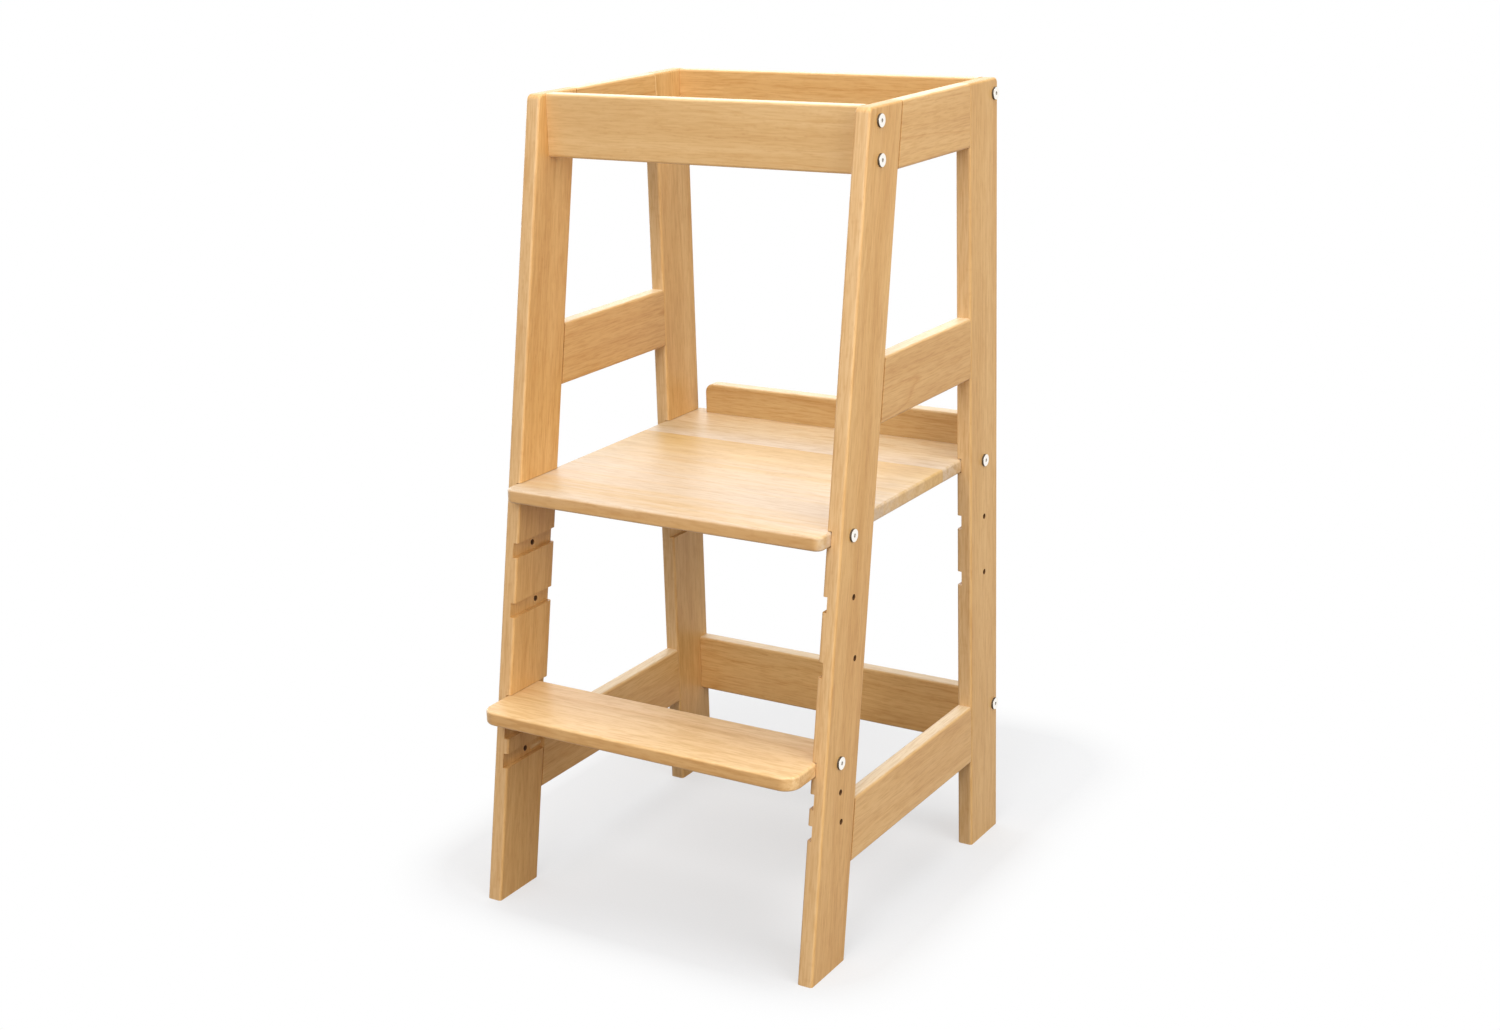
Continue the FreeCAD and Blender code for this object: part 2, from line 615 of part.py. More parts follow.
for item in doc.Objects:
    if "Invalid" in item.State or "Error" in item.State:
        raise RuntimeError(f"{item.Label} did not build: {item.State}")
for node in nodes:
    if node.Shape.isNull() or not node.Shape.isValid() or not node.Shape.Solids:
        raise RuntimeError(f"{node.Label} has no sound solid")

os.makedirs("parts", exist_ok=True)
for node in nodes:
    node.Shape.exportStep(f"parts/{node.Label}.step")
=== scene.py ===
import math

import bmesh
import bpy
from mathutils import Euler, Matrix, Vector


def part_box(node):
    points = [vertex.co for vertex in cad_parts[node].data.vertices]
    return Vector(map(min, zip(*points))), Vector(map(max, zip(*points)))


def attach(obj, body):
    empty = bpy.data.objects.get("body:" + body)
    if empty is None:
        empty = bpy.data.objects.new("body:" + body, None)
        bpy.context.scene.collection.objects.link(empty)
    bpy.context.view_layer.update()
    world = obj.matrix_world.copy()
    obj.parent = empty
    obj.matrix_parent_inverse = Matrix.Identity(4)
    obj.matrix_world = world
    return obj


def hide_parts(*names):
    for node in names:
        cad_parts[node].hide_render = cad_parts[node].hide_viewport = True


# Kitchen helper stool for a toddler in clear-lacquered beech.
# Metres throughout: X across the stool, Y from the front to the back, Z up.

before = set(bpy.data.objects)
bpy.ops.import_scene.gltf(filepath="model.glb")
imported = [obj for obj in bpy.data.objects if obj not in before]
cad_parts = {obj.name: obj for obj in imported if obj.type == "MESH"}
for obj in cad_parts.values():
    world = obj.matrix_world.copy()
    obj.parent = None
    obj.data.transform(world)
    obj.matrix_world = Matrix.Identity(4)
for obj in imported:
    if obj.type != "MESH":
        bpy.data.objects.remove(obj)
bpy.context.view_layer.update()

# NEAR is the slack where points are found by their place, and OVERSHOOT how far a cutting tool
# stands out of the wood. BACK and UP are places in a corner's three numbers.
MM = 0.001
NEAR = 0.02 * MM
OVERSHOOT = 4 * MM
X, Y, Z = Vector((1, 0, 0)), Vector((0, 1, 0)), Vector((0, 0, 1))
BACK, UP = 1, 2
SIDES = {"right": 1, "left": -1}

# Side frames: the front leg leans, so a frame is deeper at the floor than at the top.
LEG_WIDTH = 70 * MM
FLOOR_DEPTH = 453 * MM
TOP_DEPTH = 297 * MM

# Radii of the roundings, and how many flats make each of them.
EDGE_ROUND, EDGE_FLATS = 3 * MM, 4
TOP_CORNER, TOP_FLATS = 6 * MM, 6
LIP_CORNER, LIP_FLATS = 11 * MM, 8
PLATFORM_CORNER, PLATFORM_REAR_CORNER = 10 * MM, 5 * MM
STEP_CORNER, STEP_REAR_CORNER = 18 * MM, 3.5 * MM
PLAN_FLATS = 10
ARRIS, ARRIS_FLATS = 0.35 * MM, 2

# Angles between two faces: past CORNER their edge is one to round, past SHARP it gets an arris, and
# up to SMOOTH they are shaded as one surface. PARALLEL is the cosine of edges that run one way.
CORNER, SHARP, SMOOTH = math.radians(30), math.radians(50), math.radians(40)
PARALLEL = 0.9999

# Grooves and holes: platform and step each fit at three heights. Insets are from a rail's upper
# edge to its bolts, BOLT_HOLE and NUT_HOLE are radii, and BOLT_REACH is from the leg's outer face.
HEIGHTS = 3
GROOVE_DEPTH = 5.8 * MM
GROOVE_HEIGHT = 16.5 * MM
PLATFORM_PITCH = 67.5 * MM
STEP_PITCH = 33.5 * MM
FRONT_BOLT_INSET = 15 * MM
REAR_BOLT_INSET = 17 * MM
RAIL_BOLT_PITCH = 40 * MM
BOLT_HOLE = 3.25 * MM
BOLT_REACH = 53 * MM
NUT_HOLE = 5.1 * MM
NUT_RADIUS = 5 * MM
BOARD_NUT_DEPTH = 14.2 * MM
RAIL_NUT_DEPTH = 15.2 * MM

# The connector bolt, M6 x 50, with a hexagon socket measured across its flats.
HEAD_RADIUS = 7 * MM
HEAD_THICK = 2.6 * MM
HEAD_ROUND = 0.4 * MM
HEAD_ARRIS = 0.12 * MM
HEAD_SIDES = 64
SOCKET_FLAT = 4 * MM
SOCKET_DEPTH = 2 * MM
SHANK_RADIUS = 3 * MM
SHANK_LENGTH = 50 * MM
TIP_BEVEL = 0.8 * MM
TIP_ARRIS = 0.1 * MM


# ---------------------------------------------------------------- places, read from the frame

def corners(node):
    """Lowest and highest corner of a node of the frame."""
    low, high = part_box(node)
    return Vector(low), Vector(high)


def centre_of(node):
    low, high = corners(node)
    return (low + high) / 2


def middle_of(node, way):
    """Where the middle of a node lies, the way being BACK or UP."""
    low, high = corners(node)
    return (low[way] + high[way]) / 2


leg_low, leg_high = corners("right_front_leg")
inner_face, outer_face = leg_low.x, leg_high.x
floor_front = leg_low.y
stool_top = leg_high.z
slope = (FLOOR_DEPTH - TOP_DEPTH) / stool_top
leg_run = LEG_WIDTH * math.hypot(1, slope)
rear_leg_low, rear_leg_high = corners("right_rear_leg")

platform_underside = corners("platform_front_board")[0].z
platform_bolt_height = middle_of("platform_front_board", UP)
front_column = corners("right_platform_bolts")[0].y + HEAD_RADIUS
rear_column = middle_of("right_rear_leg", BACK)
step_underside = corners("step_board")[0].z
step_bolt_height = middle_of("step_board", UP)
step_column = middle_of("right_step_bolt", BACK)
nut_column = corners("platform_barrel_nuts")[1].x - NUT_RADIUS

front_rail_column = middle_of("front_top_rail", BACK)
rear_rail_column = middle_of("rear_top_rail", BACK)
lower_rail_top = corners("rear_lower_rail")[1].z
rail_bolts = [
    (front_rail_column, stool_top - FRONT_BOLT_INSET),
    (front_rail_column, stool_top - FRONT_BOLT_INSET - RAIL_BOLT_PITCH),
    (rear_rail_column, stool_top - REAR_BOLT_INSET),
    (rear_rail_column, lower_rail_top - REAR_BOLT_INSET),
]


def leg_front(height):
    return floor_front + slope * height


def leg_rear(height):
    return floor_front + leg_run + slope * height


def column_of_holes(back, top, pitch):
    """One hole for each height, as (place from front to back, height)."""
    return [(back, top - level * pitch) for level in range(HEIGHTS)]


# ---------------------------------------------------------------- modelling

def take(*pieces):
    """Select these pieces alone, the first one active."""
    bpy.ops.object.select_all(action="DESELECT")
    for piece in pieces:
        piece.select_set(True)
    bpy.context.view_layer.objects.active = pieces[0]


def settle(piece):
    """Put the object's place into its mesh."""
    take(piece)
    bpy.ops.object.transform_apply(location=True, rotation=True, scale=True)


def block(name, low, high, finish):
    """A squared board between two corners."""
    bpy.ops.object.select_all(action="DESELECT")
    bpy.ops.mesh.primitive_cube_add(size=1, location=(low + high) / 2, scale=high - low)
    piece = bpy.context.active_object
    piece.name = name
    piece.data.materials.append(finish)
    settle(piece)
    return piece


def rod(name, centre, axis, radius, length, finish, sides=32):
    """A round rod along an axis, for a hole or a bolt."""
    turn = Z.rotation_difference(axis).to_euler()
    bpy.ops.object.select_all(action="DESELECT")
    bpy.ops.mesh.primitive_cylinder_add(vertices=sides, radius=radius, depth=length,
                                        location=centre, rotation=turn)
    piece = bpy.context.active_object
    piece.name = name
    piece.data.materials.append(finish)
    settle(piece)
    return piece


def pick(piece, kind, wanted):
    """Enter edit mode with only the edges, or points, that the test wants selected."""
    take(piece)
    bpy.ops.object.mode_set(mode="EDIT")
    bpy.ops.mesh.select_mode(type=kind)
    bpy.ops.mesh.select_all(action="DESELECT")
    mesh = bmesh.from_edit_mesh(piece.data)
    for item in mesh.edges if kind == "EDGE" else mesh.verts:
        if wanted(item):
            item.select_set(True)
    bmesh.update_edit_mesh(piece.data)


def round_edges(piece, radius, flats, wanted):
    pick(piece, "EDGE", wanted)
    bpy.ops.mesh.bevel(offset=radius, segments=flats, profile=0.5, affect="EDGES")
    bpy.ops.object.mode_set(mode="OBJECT")


def move_points(piece, shift, wanted):
    pick(piece, "VERT", wanted)
    bpy.ops.transform.translate(value=shift)
    bpy.ops.object.mode_set(mode="OBJECT")


def join(pieces):
    take(*pieces)
    if len(pieces) > 1:
        bpy.ops.object.join()
    return pieces[0]


def carve(piece, tools):
    """Take the tools out of the piece; a tool's material goes onto the walls that it leaves."""
    for number, tool in enumerate(tools):
        cut = piece.modifiers.new(f"cut_{number}", "BOOLEAN")
        cut.operation = "DIFFERENCE"
        cut.solver = "EXACT"
        cut.material_mode = "TRANSFER"
        cut.object = tool
        take(piece)
        bpy.ops.object.modifier_apply(modifier=cut.name)
        bpy.data.objects.remove(tool, do_unlink=True)


def ease(piece, width=ARRIS):
    """Break the sharp edges and shade the roundings smoothly."""
    soft = piece.modifiers.new("broken_edges", "BEVEL")
    soft.width = width
    soft.segments = ARRIS_FLATS
    soft.limit_method = "ANGLE"
    soft.angle_limit = SHARP
    take(piece)
    bpy.ops.object.modifier_apply(modifier=soft.name)
    bpy.ops.object.shade_smooth_by_angle(angle=SMOOTH)
    even = piece.modifiers.new("even_faces", "WEIGHTED_NORMAL")
    even.keep_sharp = True
    even.weight = 100
    bpy.ops.object.modifier_apply(modifier=even.name)


def runs_along(edge, axis):
    a, b = (point.co for point in edge.verts)
    return abs((b - a).normalized().dot(axis)) > PARALLEL


def middle(edge):
    return (edge.verts[0].co + edge.verts[1].co) / 2


def is_corner(edge):
    """True for an edge between faces that stand well apart."""
    return len(edge.link_faces) == 2 and edge.calc_face_angle() > CORNER


# ---------------------------------------------------------------- materials

def linear(code):
    """Linear colour of an sRGB hex value."""
    parts = [int(code[i:i + 2], 16) / 255 for i in (1, 3, 5)]
    return tuple(c / 12.92 if c <= 0.04045 else ((c + 0.055) / 1.055) ** 2.4 for c in parts) + (1,)


def greys(*stops):
    """Points of a colour ramp from (place, level) pairs."""
    return [(place, (level, level, level, 1)) for place, level in stops]


def new_material(name):
    material = bpy.data.materials.new(name)
    material.use_nodes = True
    material.node_tree.nodes.clear()
    return material, material.node_tree


def add(tree, kind, settings=None, *given, stops=None, **named):
    """One node with its settings and links.

    given fills the sockets in use in their order, named fills them by name; each is a value, a
    socket or a node, whose first output in use is taken. stops are (place, colour) points of a
    colour ramp."""
    node = tree.nodes.new(kind)
    for name, value in (settings or {}).items():
        setattr(node, name, value)
    sockets = [socket for socket in node.inputs if socket.enabled]
    filled = list(zip(sockets, given))
    filled += [(node.inputs[name.replace("_", " ")], value) for name, value in named.items()]
    for socket, value in filled:
        if isinstance(value, bpy.types.Node):
            value = next(output for output in value.outputs if output.enabled)
        if isinstance(value, bpy.types.NodeSocket):
            tree.links.new(value, socket)
        else:
            socket.default_value = value
    if stops:
        points = node.color_ramp.elements
        while len(points) < len(stops):
            points.new(0.5)
        for point, (place, colour) in zip(points, stops):
            point.position = place
            point.color = colour
    return node


PLACE, VECTOR, MATHS = "ShaderNodeMapping", "ShaderNodeVectorMath", "ShaderNodeMath"
NOISE, RAMP, SPREAD = "ShaderNodeTexNoise", "ShaderNodeValToRGB", "ShaderNodeMapRange"
MIX, BUMP, SHADER = "ShaderNodeMix", "ShaderNodeBump", "ShaderNodeBsdfPrincipled"
TIMES, PLUS, LESS = {"operation": "MULTIPLY"}, {"operation": "ADD"}, {"operation": "SUBTRACT"}
POWER, LARGER = {"operation": "POWER"}, {"operation": "MAXIMUM"}
UNSIGNED, ALIGNED = {"operation": "ABSOLUTE"}, {"operation": "DOT_PRODUCT"}
ONE_WAY = {"noise_dimensions": "1D"}
SOFTLY = {"interpolation_type": "SMOOTHSTEP"}
BLEND = {"data_type": "RGBA", "blend_type": "MIX"}
TINT = {"data_type": "RGBA", "blend_type": "MULTIPLY"}

# How a board's length turns onto the pattern's own X axis.
GRAIN_TURNS = {
    "X": Euler((0, 0, 0)),
    "Y": Euler((0, 0, math.radians(-90))),
    "Z": Euler((0, math.radians(90), 0)),
    "leaning": Euler((math.atan(slope), math.radians(90), 0)),
}

# The wood's patterns in cells per metre, along the fibre and twice across it. Real fibre is about
# a tenth of a millimetre wide, so it is drawn as coarse as it needs to show.
WANDER = (2.6, 12, 12)          # 385 mm long, 83 mm wide
WAVER = (7, 50, 50)             # 143 mm long, 20 mm wide
FINE_FIBRE = (45, 600, 600)     # 22 mm long, 1.7 mm wide
FIBRE = (12, 260, 260)          # 83 mm long, 3.8 mm wide
STREAK = (1.3, 66, 66)          # 770 mm long, 15 mm wide
CLOUD = (2.2, 10, 10)           # 455 mm long, 100 mm wide

# How far the rings stray from a straight trunk, and how far the fibre trembles, on both sides of
# a pattern's mean.
NOISE_MEAN = (0.5, 0.5, 0.5)
WANDER_REACH = 50 * MM
WAVER_REACH = 1.6 * MM

# Rings per metre out from the pith: 5 mm apart, twice the usual, so that they show. Noise 14 mm
# long pushes them out by up to SPACING_RINGS, and noise 24 mm long makes them paler or deeper.
RINGS = 200.0
SPACING_CHANGE, SPACING_RINGS = 70.0, 2.6
PALENESS_CHANGE = 42.0

# How dark a year's wood is from spring to late summer, and how strongly the years show.
SEASON = greys((0.0, 0.10), (0.40, 0.0), (0.78, 0.42), (0.90, 1.0), (1.0, 0.30))
YEARS = greys((0.0, 0.10), (0.6, 0.34), (1.0, 1.0))

# Ray flecks in cells per metre along the fibre and out from the pith, and per radian round it. On a
# face they are brown dashes about 6 mm long and 1.5 mm wide, twice as coarse as real.
RAYS_ALONG, RAYS_OUT, RAYS_ROUND = 120.0, 60.0, 50.0
RAY_BODY = greys((0.18, 1.0), (0.38, 0.0))
RAY_STRENGTH = greys((0.30, 0.0), (0.60, 1.0))

# Where between 0 and 1 a pattern turns from one tone to the next.
CLOUD_TURNS = (0.36, 0.64)
PALENESS_TURNS = (0.38, 0.50, 0.62)
STREAK_TURNS = (0.36, 0.50, 0.60)
FIBRE_TURNS = (0.36, 0.54)
SPECK_TURNS = (0.3, 0.7)

# Tones that the wood's own is multiplied by, and how far each takes it. PALE_GAIN makes a board's
# pale tone from its light one, and LINES_SHARE is the part of its tone that rings and streaks give.
RING_TINT, RING_SHARE = "#EFE1CB", 0.75
FINE_FIBRE_TINT, FIBRE_TINT = "#F3ECDF", "#F8F3EB"
RAY_TINT, RAY_SHARE = "#E5D4C2", 0.20
END_TINT, END_SHARE, END_FALL = "#F1E6D6", 0.30, 8.0
PALE_GAIN = (1.07, 1.13, 1.26)
LINES_SHARE = 0.55

# Painted sheen: a paler tone painted across the platform's boards stands in for the film's white
# sheen where one looks along them. It comes in as streaks and never quite hides the rest.
SHEEN_PAINT_TONE, SHEEN_PAINT_MOST = "#D2BDA4", 0.95
SHEEN_PAINT_STREAKS = greys((0.40, 0.45), (0.56, 1.0))

# Narrow faces: the way they look, their tone, and how far they take it. The rails and the lip turn
# their narrow faces up and down, and the pale cream on them is partly the other cut and partly
# painted sheen for their tops.
LEG_EDGE = (Y, "#D6B58A", 0.60)
RAIL_EDGE_AND_SHEEN = (Z, "#E8D2AE", 0.85)
# TOP_EDGE gives the front and back faces of platform and step a plainer tone than their tops, which
# are painted paler for sheen.
TOP_EDGE = (Y, "#CDA066", 0.85)
EDGE_FALL = 4.0

# A satin film of lacquer that sinks a little into the fibre and the rings, less or more rough as
# the fibre takes it. Dowels have none.
LACQUER_IOR = 1.5
LACQUER_ROUGH, DOWEL_ROUGH = 0.42, 0.6
LESS_ROUGH, MORE_ROUGH = 0.05, 0.09
FIBRE_RELIEF, RING_RELIEF = 0.6, 0.5
FILM_BUMP, FILM_DEPTH = 0.20, 0.12 * MM


def beech(node, grain, pith, tones, turn=0.0, log=0.0, figure=1.0, painted_sheen=None, edge=None,
          coarse=1.0, rough=LACQUER_ROUGH):
    """Solid beech, planed, sanded and sealed with a clear satin lacquer.

    Beech is a pale tan wood that a clear lacquer turns honey. Its growth rings show as thin brown
    lines and pale bands, with a straight fine fibre and short brown ray flecks; end grain drinks
    more lacquer and looks browner. The film gives a soft white sheen where one looks along a board.

    grain is the way that the board runs. pith is how far the board's middle lay from the middle of
    the tree, two ways across the grain, in millimetres; turn is how far the fibre turns from the
    board's length, in degrees, and log the board's place along the log, in metres. tones are its
    light and deep tone, figure how strongly rings and fibre show, and coarse how much wider the
    fibre is drawn. painted_sheen gives two places across the board, in millimetres from its middle,
    between which a paler tone is painted on that stands in for the film's white sheen. edge is one
    of the settings for narrow faces."""
    material, tree = new_material("beech_" + node.removesuffix("_board"))
    light, deep = (linear(tone) for tone in tones)
    pale = tuple(min(1.0, part * gain) for part, gain in zip(light, PALE_GAIN)) + (1,)
    laid = Matrix.Rotation(math.radians(turn), 3, "Z") @ GRAIN_TURNS[grain].to_matrix()
    shift = Vector((log, pith[0] * MM, pith[1] * MM)) - laid @ centre_of(node)
    place = add(tree, "ShaderNodeTexCoord")
    board = add(tree, PLACE, None, place.outputs["Object"], shift, laid.to_euler())

    # The tree grew a little crooked, so its rings drift; the fibre runs straight and trembles.
    drift, tremble = (
        add(tree, VECTOR, TIMES,
            add(tree, VECTOR, LESS,
                add(tree, NOISE, None, add(tree, PLACE, None, board, Scale=cells), Scale=1.0,
                    Detail=detail).outputs["Color"],
                NOISE_MEAN),
            (0, reach, reach))
        for cells, detail, reach in ((WANDER, 2.0, WANDER_REACH), (WAVER, 1.0, WAVER_REACH)))
    straight = add(tree, VECTOR, PLUS, board, tremble)
    grown = add(tree, VECTOR, PLUS, straight, drift)
    along, across, through = add(tree, "ShaderNodeSeparateXYZ", None, grown).outputs
    radius = add(tree, MATHS, {"operation": "SQRT"},
                 add(tree, MATHS, PLUS, add(tree, MATHS, TIMES, across, across),
                     add(tree, MATHS, TIMES, through, through)))
    angle = add(tree, MATHS, {"operation": "ARCTAN2"}, through, across)

    # Growth rings, wide and narrow years in turn: a pale spring part that deepens towards the thin
    # brown line of late summer.
    uneven = add(tree, NOISE, ONE_WAY, W=radius, Scale=SPACING_CHANGE, Detail=1.0)
    years = add(tree, MATHS, PLUS, add(tree, MATHS, TIMES, radius, RINGS),
                add(tree, MATHS, TIMES, uneven, SPACING_RINGS))
    phase = add(tree, MATHS, {"operation": "FRACT"}, years)
    year = add(tree, "ShaderNodeTexWhiteNoise", ONE_WAY,
               add(tree, MATHS, {"operation": "FLOOR"}, years)).outputs["Value"]
    ring = add(tree, MATHS, TIMES, add(tree, RAMP, None, phase, stops=SEASON),
               add(tree, RAMP, None, year, stops=YEARS))
    paleness = add(tree, NOISE, ONE_WAY, W=radius, Scale=PALENESS_CHANGE, Detail=1.0)

    # Two widths of fibre, streaks a finger wide where the wood takes the lacquer unevenly, and the
    # slow change of tone along a board.
    fine, fibre, streak, cloud = (
        add(tree, NOISE, None,
            add(tree, PLACE, None, where, Scale=(cells[0], cells[1] / wider, cells[2] / wider)),
            Scale=1.0, Detail=detail)
        for where, cells, wider, detail in (
            (straight, FINE_FIBRE, coarse, 2.0), (straight, FIBRE, coarse, 2.0),
            (straight, STREAK, 1.0, 2.0), (board, CLOUD, 1.0, 1.0)))

    # Ray flecks are thin plates that stand out from the pith, some stronger than others.
    rays = add(tree, "ShaderNodeCombineXYZ", None, add(tree, MATHS, TIMES, along, RAYS_ALONG),
               add(tree, MATHS, TIMES, radius, RAYS_OUT),
               add(tree, MATHS, TIMES, angle, RAYS_ROUND))
    fleck = add(tree, "ShaderNodeTexVoronoi", {"feature": "F1"}, rays, Scale=1.0)
    strength = add(tree, "ShaderNodeSeparateColor", None, fleck.outputs["Color"])
    flecks = add(tree, MATHS, TIMES,
                 add(tree, RAMP, None, fleck.outputs["Distance"], stops=RAY_BODY),
                 add(tree, RAMP, None, strength, stops=RAY_STRENGTH))

    # How squarely a face looks along the fibre, as the ends of a board do.
    facing = add(tree, VECTOR, ALIGNED, place.outputs["Normal"], laid.inverted() @ X)
    end = add(tree, MATHS, POWER, add(tree, MATHS, UNSIGNED, facing.outputs["Value"]), END_FALL)

    # The board's own tone: lighter and deeper by turns, and paler in some rings and streaks.
    tone = add(tree, RAMP, None, cloud, stops=list(zip(CLOUD_TURNS, (light, deep))))
    bands = add(tree, RAMP, None, paleness, stops=list(zip(PALENESS_TURNS, (pale, light, deep))))
    runs = add(tree, RAMP, None, streak, stops=list(zip(STREAK_TURNS, (deep, light, pale))))
    colour = add(tree, MIX, BLEND, LINES_SHARE, tone, add(tree, MIX, BLEND, 0.5, bands, runs))
    # A paler tone painted across the board stands in for the film's white sheen, patchy along the
    # streaks.
    if painted_sheen:
        width = add(tree, "ShaderNodeSeparateXYZ", None, add(tree, VECTOR, PLUS, board, drift))
        sheen_across = add(tree, SPREAD, SOFTLY, width.outputs["Y"], (painted_sheen[0] + pith[0]) * MM,
                  (painted_sheen[1] + pith[0]) * MM, 0.0, SHEEN_PAINT_MOST)
        patchy = add(tree, RAMP, None, streak, stops=SHEEN_PAINT_STREAKS)
        colour = add(tree, MIX, BLEND, add(tree, MATHS, TIMES, sheen_across, patchy), colour,
                     linear(SHEEN_PAINT_TONE))
    rings = add(tree, MATHS, TIMES, ring, min(1.0, RING_SHARE * figure))
    colour = add(tree, MIX, TINT, rings, colour, linear(RING_TINT))
    if edge:
        # The narrow faces cut the wood another way, so they take the lacquer in another tone. On
        # the rails and the lip these faces look up and down, and their pale cream is partly painted
        # sheen for the tops.
        way, edge_tone, edge_share = edge
        looks = add(tree, VECTOR, ALIGNED, place.outputs["Normal"], way)
        narrow = add(tree, MATHS, POWER, add(tree, MATHS, UNSIGNED, looks.outputs["Value"]),
                     EDGE_FALL)
        colour = add(tree, MIX, BLEND, add(tree, MATHS, TIMES, narrow, edge_share), colour,
                     linear(edge_tone))
    for pattern, tint in ((fine, FINE_FIBRE_TINT), (fibre, FIBRE_TINT)):
        hair = add(tree, RAMP, None, pattern,
                   stops=list(zip(FIBRE_TURNS, (linear(tint), (1, 1, 1, 1)))))
        colour = add(tree, MIX, TINT, min(1.0, figure), colour, hair)
    for pattern, share, tint in ((flecks, RAY_SHARE, RAY_TINT), (end, END_SHARE, END_TINT)):
        colour = add(tree, MIX, TINT, add(tree, MATHS, TIMES, pattern, share), colour,
                     linear(tint))

    sheen = add(tree, SPREAD, None, fibre, To_Min=rough - LESS_ROUGH, To_Max=rough + MORE_ROUGH)
    relief = add(tree, MATHS, LESS, add(tree, MATHS, TIMES, fine, FIBRE_RELIEF),
                 add(tree, MATHS, TIMES, ring, RING_RELIEF))
    bump = add(tree, BUMP, None, Height=relief, Strength=FILM_BUMP, Distance=FILM_DEPTH)
    shader = add(tree, SHADER, None, Base_Color=colour, Roughness=sheen, Normal=bump,
                 IOR=LACQUER_IOR)
    add(tree, "ShaderNodeOutputMaterial", None, shader)
    return material


# In cells per metre: torn fibre and the grain of a plated surface are a few tenths of a millimetre,
# and are drawn 1.1 mm coarse so that they show. The thread's pitch is its real 1 mm. Each bump is a
# strength and a depth.
# The bores' two browns are mostly painted shade inside the holes, darker than bare beech is.
TORN_FIBRE, TORN_AND_SHADED_TONES, TORN_BUMP = 900.0, ("#5E3E1E", "#7E5630"), (0.4, 0.2 * MM)
PLATED_GRAIN, PLATED_TURNS, PLATED_BUMP = 900.0, (0.2, 0.6), (0.15, 0.02 * MM)
THREAD_PITCHES, THREAD_BUMP = 1000.0, (0.9, 0.6 * MM)


def painted_bore_shade(name):
    """Bare beech in a drilled hole, furred by the bit and dull. Its deep brown is mostly painted
    shade inside the bore, and partly the torn, unlacquered fibre.
    """
    material, tree = new_material(name)
    place = add(tree, "ShaderNodeTexCoord").outputs["Object"]
    furry = add(tree, NOISE, None, place, Scale=TORN_FIBRE, Detail=2.0)
    colour = add(tree, RAMP, None, furry,
                 stops=list(zip(SPECK_TURNS, (linear(tone) for tone in TORN_AND_SHADED_TONES))))
    bump = add(tree, BUMP, None, Height=furry, Strength=TORN_BUMP[0], Distance=TORN_BUMP[1])
    shader = add(tree, SHADER, None, Base_Color=colour, Normal=bump, Roughness=0.8)
    add(tree, "ShaderNodeOutputMaterial", None, shader)
    return material


def plated_steel(name, dark, bright, low, high, thread=False):
    """Turned and plated steel: its reflections are soft and a little speckled.

    low and high are where its roughness ends. A bolt's shank carries a rolled thread, drawn as a
    bump whose roots are painted darker as shade."""
    material, tree = new_material(name)
    place = add(tree, "ShaderNodeTexCoord").outputs["Object"]
    spots = add(tree, NOISE, None, place, Scale=PLATED_GRAIN, Detail=2.0)
    relief, (strength, depth) = spots, PLATED_BUMP
    if thread:
        along = add(tree, "ShaderNodeSeparateXYZ", None, place).outputs["X"]
        turns = add(tree, MATHS, TIMES, along, THREAD_PITCHES)
        relief = add(tree, MATHS, {"operation": "PINGPONG"}, turns, 0.5)
        strength, depth = THREAD_BUMP
    # On a thread the tint follows the thread, so its roots are painted darker as shade.
    tint = add(tree, RAMP, None, relief,
               stops=list(zip(PLATED_TURNS, (linear(dark), linear(bright)))))
    rough = add(tree, SPREAD, None, spots, To_Min=low, To_Max=high)
    bump = add(tree, BUMP, None, Height=relief, Strength=strength, Distance=depth)
    shader = add(tree, SHADER, None, Base_Color=tint, Roughness=rough, Normal=bump, Metallic=1.0)
    add(tree, "ShaderNodeOutputMaterial", None, shader)
    return material


# Bores get a dark brown that stands in for the shade inside them.
bore_wood_with_shade = painted_bore_shade("beech_bore_painted_shade")
# Nickel makes a bolt's head bright and nearly white. Its side is painted dark for the shade on it
# and the brown wood it mirrors, and its socket grey for the shade inside it; both are left rougher.
# Zinc, on thread and nuts, is a duller grey.
bolt_metal = plated_steel("steel_nickel_plated", "#F3EEE6", "#FFFBF4", 0.26, 0.38)
head_side_shade_metal = plated_steel("steel_turned_side", "#4A4238", "#6E655A", 0.45, 0.60)
socket_shade_metal = plated_steel("steel_socket_painted_shade", "#B4AEA6", "#CEC8C0", 0.40, 0.55)
shank_metal = plated_steel("steel_thread_zinc_plated", "#8C8F92", "#C9CCCE", 0.30, 0.46,
                           thread=True)
nut_metal = plated_steel("steel_zinc_plated_nut", "#A9ACAE", "#CFD2D4", 0.32, 0.46)


# ---------------------------------------------------------------- boards

def settle_in(piece, body, node):
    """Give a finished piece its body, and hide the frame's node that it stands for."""
    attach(piece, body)
    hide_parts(node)


def groove_tools(side, bottom, pitch, wood):
    """The room that a leg's grooves take away, the highest one from this height up."""
    near, far = sorted((side * (inner_face - OVERSHOOT), side * (inner_face + GROOVE_DEPTH)))
    tools = []
    for level in range(HEIGHTS):
        low = bottom - level * pitch
        tools.append(block("groove_room", Vector((near, floor_front - OVERSHOOT, low)),
                           Vector((far, rear_leg_high.y + OVERSHOOT, low + GROOVE_HEIGHT)), wood))
    return tools


def hole_tools(side, spots):
    """The room that bolt holes take away, each given as (place from front to back, height)."""
    centre_x = side * (inner_face + outer_face) / 2
    depth = outer_face - inner_face + 2 * OVERSHOOT
    return [rod("hole_room", Vector((centre_x, back, up)), X, BOLT_HOLE, depth, bore_wood_with_shade)
            for back, up in spots]


def leg_edge(edge):
    """True for the edges of a leg to round: the outline of its two broad faces, less the foot."""
    return is_corner(edge) and not runs_along(edge, X) and middle(edge).z > NEAR


def top_edge(edge):
    return runs_along(edge, X) and middle(edge).z > stool_top - NEAR


